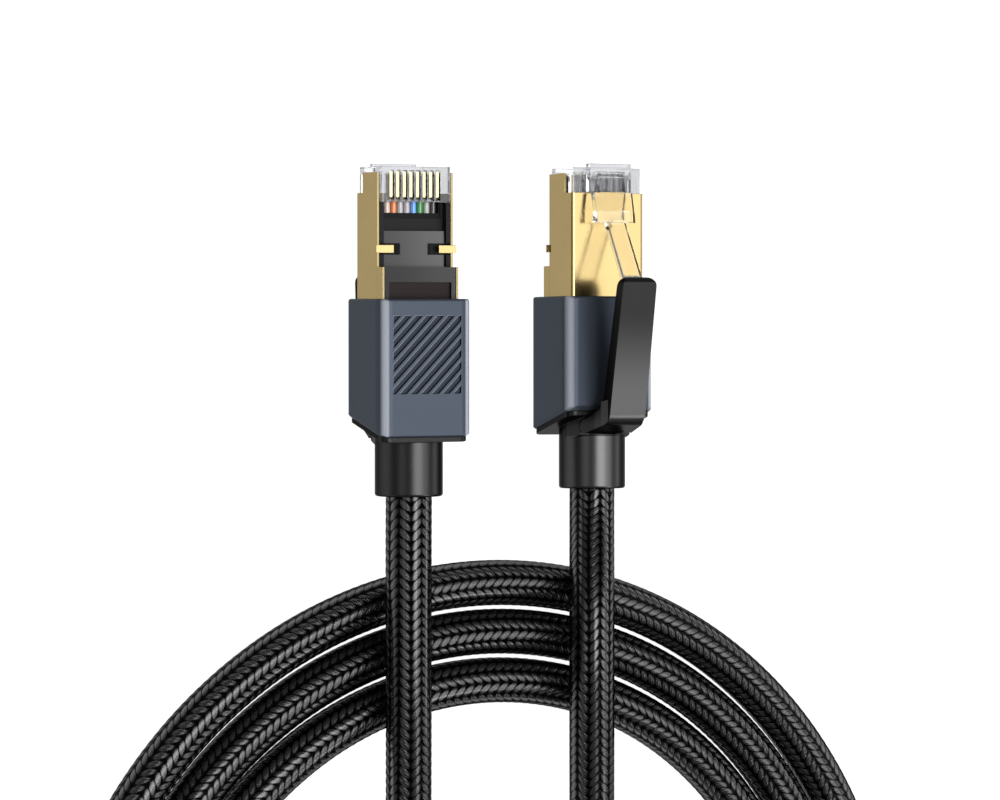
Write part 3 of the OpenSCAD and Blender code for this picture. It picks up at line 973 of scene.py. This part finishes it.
@dataclass
class CordBraid:
    """The braided sleeve of the cord: strands in two directions, each over two and under two.

    A strand dives by the rise and bulges by the swell, and the steepness of its flanks makes it a little
    wider than its track. The braid is turned by the twist, in columns of stitches, at boot a, and less
    and less towards boot b.
    """

    route: CordRoute
    diameter: float = 6.5 * MM
    columns: int = 12
    cuts: int = 4
    row: float = 1.365 * MM
    rise: float = 0.08 * MM
    swell: float = 0.08 * MM
    steepness: float = 1.96
    twist: float = 1.3
    rows_per_path_point: int = 4

    def height(self, column: np.ndarray, row: np.ndarray) -> np.ndarray:
        """Return how far the strands stand out at a place of the weave.

        Args:
            column: Place round the cord, in columns of stitches.
            row: Place along the cord, in stitches.

        Returns:
            The height above the middle of their dives, in metres.
        """
        over = self.rise * np.cos(np.pi * (column - 0.5))
        right = (row - column + 0.5) % 1.0 - 0.5
        left = (row + column + 0.5) % 1.0 - 0.5
        return np.maximum(over + self.rounded(right), -over + self.rounded(left))

    def rounded(self, across: np.ndarray) -> np.ndarray:
        """Return how far a strand bulges at a place across it, from -0.5 to 0.5."""
        return self.swell * np.sqrt(np.clip(1 - (self.steepness * across) ** 2, 0, 1))

    @staticmethod
    def headings(line: np.ndarray) -> tuple[np.ndarray, np.ndarray]:
        """Return two directions square to the line, carried along it without twist.

        Args:
            line: The line's points.

        Returns:
            The two directions at each point.
        """
        way = np.gradient(line, axis=0)
        way /= np.linalg.norm(way, axis=1)[:, None]
        side = np.zeros_like(way)
        last = np.array([1.0, 0.0, 0.0])
        for i, ahead in enumerate(way):
            last = last - ahead * np.dot(last, ahead)
            last /= np.linalg.norm(last)
            side[i] = last
        return side, np.cross(way, side)

    def surface(self, line: np.ndarray) -> np.ndarray:
        """Return the points of the braid's surface, ring after ring.

        Args:
            line: The points of the cord's middle line.

        Returns:
            An array of rings, points and coordinates.
        """
        side, up = self.headings(line)
        column = np.arange(self.columns * self.cuts) / self.cuts
        row = np.arange(len(line)) / self.cuts
        turned = column[None, :] + self.twisted(len(line))[:, None]
        radius = self.diameter / 2 - self.rise - self.swell + self.height(turned, row[:, None])
        angle = (column / self.columns * 2 * np.pi)[None, :, None]
        out = side[:, None, :] * np.cos(angle) + up[:, None, :] * np.sin(angle)
        return line[:, None, :] + radius[:, :, None] * out

    def build(self, material: bpy.types.Material) -> bpy.types.Object:
        """Args:
            material: The braid's material.

        Returns:
            The cord's object.
        """
        line = self.route.line(self.row / self.cuts)
        points = self.surface(line)
        rings, round_points, axes = points.shape
        faces = grid_faces(rings, round_points)
        cord = mesh_object("braided_cord", points.reshape(-1, axes), faces.tolist(), material)
        self.map_weave(cord, rings, round_points)
        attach(cord, "lead")
        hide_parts("cord_run_a", "cord_coil", "cord_run_b")
        LOG.info("braided_cord: %d rings, %.3f m long", rings, self.route.travelled(line)[-1])
        return cord

    def twisted(self, rings: int) -> np.ndarray:
        """Return how many columns the braid is turned by at each ring, fading along the cord."""
        return np.linspace(self.twist, 0.0, rings)

    def map_weave(self, cord: bpy.types.Object, rings: int, round_points: int) -> None:
        """Store the columns and rows of stitches as the mesh's map.

        Args:
            cord: The cord's object.
            rings: Number of rings.
            round_points: Points in each ring.
        """
        ring = np.repeat(np.arange(rings - 1), round_points)
        point = np.tile(np.arange(round_points), rings - 1)
        corners = [(point, ring), (point + 1, ring), (point + 1, ring + 1), (point, ring + 1)]
        turned = self.twisted(rings) * self.cuts
        flat = np.stack([np.stack((p + turned[r], r), axis=1) for p, r in corners], axis=1) / self.cuts
        weave = cord.data.uv_layers.new(name=WEAVE_MAP)
        weave.data.foreach_set("uv", flat.astype(np.float32).ravel())


# ---- the studio ----


@dataclass(frozen=True)
class Panel:
    """A soft rectangular lamp that faces the plugs.

    It leans from overhead by an angle in degrees, to the right where that is plus. Its size across and
    along the plugs and its shift along them are in metres, and its radiance is how bright its face is.
    """

    name: str
    lean: float
    across: float
    along: float
    radiance: float
    shift: float = 0.0
    distance: float = 0.9
    aim: tuple[float, float, float] = (0.0, -0.01, 0.01)

    def hang(self) -> None:
        """Make the lamp."""
        data = bpy.data.lights.new(self.name, "AREA")
        data.shape = "RECTANGLE"
        data.size = self.along
        data.size_y = self.across
        data.energy = self.radiance * math.pi * self.across * self.along
        lamp = bpy.data.objects.new(self.name, data)
        turned = math.radians(self.lean)
        back = Vector((math.sin(turned), 0.0, math.cos(turned)))
        ahead = Vector((0.0, 1.0, 0.0))
        lamp.location = back * self.distance + ahead * self.shift + Vector(self.aim)
        lamp.rotation_euler = Matrix((ahead, back.cross(ahead), back)).transposed().to_euler()
        bpy.context.scene.collection.objects.link(lamp)


@dataclass
class Studio:
    """The table, the soft lights and the camera, whose target and distance are in millimetres."""

    target: tuple[float, float, float] = (0.09, -10.136, 8.0)
    lean: float = 27.5
    pitch: float = 1.4138
    distance: float = 630.0
    lens: float = 160.45
    sensor_width: float = 36.0
    table_half: float = 3.0
    table_grey: Colour = (0.1, 0.1, 0.1)
    table_roughness: float = 0.9
    table_specular: float = 0.1
    table_glow: float = 1.0
    surround: float = 0.22
    # Each panel's name, lean, size across, size along and radiance, and its shift where it has one.
    panels: tuple[Panel, ...] = (
        Panel("overhead_panel", 3.0, 0.48, 0.5, 9.0),
        Panel("key_panel", 30.0, 0.38, 0.9, 3.0, -0.15),
        Panel("left_panel", -50.0, 0.35, 0.6, 1.2),
        Panel("right_panel", 75.0, 0.3, 0.6, 2.6),
        Panel("front_panel", 50.0, 0.4, 0.4, 9.0, -0.8),
    )

    def camera(self) -> None:
        """Look down at the plugs from the left and from a little beyond their noses."""
        data = bpy.data.cameras.new("studio_camera")
        data.lens = self.lens
        data.sensor_width = self.sensor_width
        data.clip_start = 0.02
        data.clip_end = 20.0
        camera = bpy.data.objects.new("studio_camera", data)
        lean = math.radians(self.lean)
        pitch = math.radians(self.pitch)
        level = math.cos(pitch)
        view = Vector((math.sin(lean) * level, -math.sin(pitch), -math.cos(lean) * level))
        right = Vector((math.cos(lean), 0.0, math.sin(lean)))
        camera.location = (Vector(self.target) - view * self.distance) * MM
        camera.rotation_euler = Matrix((right, right.cross(view), -view)).transposed().to_euler()
        bpy.context.scene.collection.objects.link(camera)
        bpy.context.scene.camera = camera

    def table(self) -> None:
        """Lay a large table under the cord, which glows as well as being lit from above."""
        tree = MaterialTree("light_table")
        material = tree.dress(
            Base_Color=opaque(self.table_grey),
            Roughness=self.table_roughness,
            Specular_IOR_Level=self.table_specular,
            Emission_Color=opaque((1.0, 1.0, 1.0)),
            Emission_Strength=self.table_glow,
        )
        sides = ((-1, -1), (1, -1), (1, 1), (-1, 1))
        corners = np.array([(x * self.table_half, y * self.table_half, 0.0) for x, y in sides])
        table = mesh_object("table", corners, [[0, 1, 2, 3]], material)

    def light(self) -> None:
        """Light the plugs from a pale room and the panels.

        A bright panel hangs overhead, a broad one beside it and a dim one at each side. A small bright
        one at the right, beyond the coil, makes the braid shine.
        """
        world = bpy.data.worlds.new("studio")
        world.use_nodes = True
        background = world.node_tree.nodes["Background"]
        background.inputs[0].default_value = (1, 1, 1, 1)
        background.inputs[1].default_value = self.surround
        bpy.context.scene.world = world
        for panel in self.panels:
            panel.hang()
        bpy.context.scene.view_settings.view_transform = "Standard"

    def build(self) -> None:
        """Set everything up."""
        self.camera()
        self.table()
        self.light()
        LOG.info("studio: camera %.1f mm, lean %.1f degrees", self.lens, self.lean)


# ---- the plugs ----


class Wardrobe:
    """Every finish, made once, with one of its own for each end where the ends differ."""

    SLEEVE_POLISH: ClassVar[dict[End, float]] = {End.A: 0.35, End.B: 0.85}
    # How far each end's painted corner highlight leans towards the top and bottom faces.
    HIGHLIGHT_TOP_SHARE: ClassVar[dict[End, float]] = {End.A: 2.0, End.B: 1.0}

    def __init__(self) -> None:
        """Build the materials that the two ends share, and the cord's."""
        clear = ClearMoulding("clear_latch", (0.97, 0.97, 0.98), (0.2, 0.2, 0.21), 0.6).build()
        smoky = ClearMoulding("clear_body", (0.53, 0.54, 0.56), (0.08, 0.08, 0.085), 0.45).build()
        self.shared = {
            "latch": clear,
            "plug_body": smoky,
            "load_bar": smoky,
            "contacts": PlatedSheet("gold_contacts", (0.55, 0.48, 0.27), 0.135).build(),
            "crimp_collar": PlatedSheet("dull_collar", (0.3, 0.25, 0.16), 0.325).build(),
            "wires_orange": Insulation("orange_wire", (0.8, 0.24, 0.06)).build(),
            "wires_green": Insulation("green_wire", (0.045, 0.3, 0.06)).build(),
            "wires_blue": Insulation("blue_wire", (0.12, 0.36, 0.9)).build(),
            "wires_brown": Insulation("brown_wire", (0.035, 0.025, 0.035)).build(),
        }
        self.braid = NylonBraid().build()

    def finishes(self, end: End) -> dict[str, bpy.types.Material]:
        """Return the materials of one end, by the name of the node they go on.

        Args:
            end: The end.

        Returns:
            The materials.
        """
        black = MouldedBlack(end, self.SLEEVE_POLISH[end]).build()
        own = {
            "boot": black,
            "lever": black,
            "cable_end": black,
            "housing": AnodisedShell(end, self.HIGHLIGHT_TOP_SHARE[end]).build(),
            "insert": MouldedInsert(end).build(),
            "shield": ShieldSheet(f"gold_shield_{end}", (0.37, 0.28, 0.125), 0.145, end=end).build(),
            "wires_white": TintedInsulation(f"white_wire_{end}", (0.42, 0.45, 0.42), end=end).build(),
        }
        return self.shared | own


@dataclass
class Plug:
    """One plug with its boot, lever and latch."""

    end: End
    nodes: dict[str, bpy.types.Object]

    def dress(self, wardrobe: Wardrobe) -> None:
        """Put each finish on its CAD node.

        Args:
            wardrobe: The finishes.
        """
        finishes = wardrobe.finishes(self.end)
        for base, material in finishes.items():
            node = self.nodes[f"{base}_{self.end}"]
            node.data.materials.clear()
            node.data.materials.append(material)
        LOG.info("plug_%s: dressed %d nodes", self.end, len(finishes))


def main() -> None:
    """Build the studio, the cord and both plugs."""
    logging.basicConfig(level=logging.INFO, format="%(message)s")
    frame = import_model()
    Studio().build()
    wardrobe = Wardrobe()
    CordBraid(CordRoute()).build(wardrobe.braid)
    for end in End:
        Plug(end, frame["nodes"]).dress(wardrobe)


if __name__ == "__main__":
    main()
